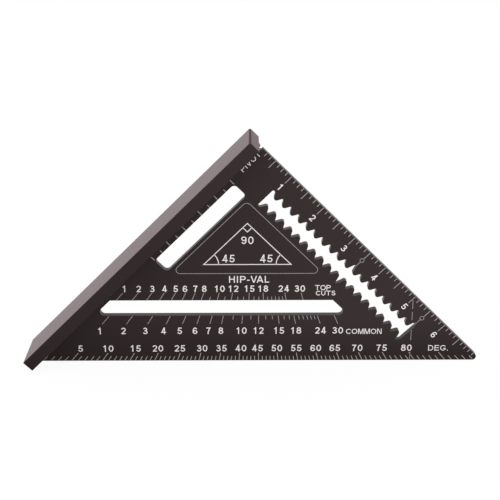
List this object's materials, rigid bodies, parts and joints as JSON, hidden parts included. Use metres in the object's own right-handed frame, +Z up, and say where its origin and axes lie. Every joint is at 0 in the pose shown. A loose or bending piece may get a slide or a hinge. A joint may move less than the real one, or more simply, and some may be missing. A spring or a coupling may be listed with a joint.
{
  "type": "rafter square",
  "caption": "Triangular aluminium rafter square with a T-shaped magnetic fence, graduated edges, pencil slots and a toothed scribing slot.",
  "frame": {"origin": "on the base plane under the middle of the part's box: the plate stands upright on its long edge", "axes": "+X along the long edge from the fence's far end to the rounded tip, -Y out of the graduated face, +Z up"},
  "size_m": [0.2618, 0.031, 0.1347],
  "materials": {
    "anodised_aluminium": "black anodised, satin",
    "nickel_plate": "nickel plated"
  },
  "bodies": {
    "root": {"square_body": "anodised_aluminium", "front_lip_magnet_1": "nickel_plate", "front_lip_magnet_2": "nickel_plate", "front_lip_magnet_3": "nickel_plate", "front_lip_magnet_4": "nickel_plate", "back_lip_magnet_1": "nickel_plate", "back_lip_magnet_2": "nickel_plate", "back_lip_magnet_3": "nickel_plate", "back_lip_magnet_4": "nickel_plate"}
  },
  "joints": []
}
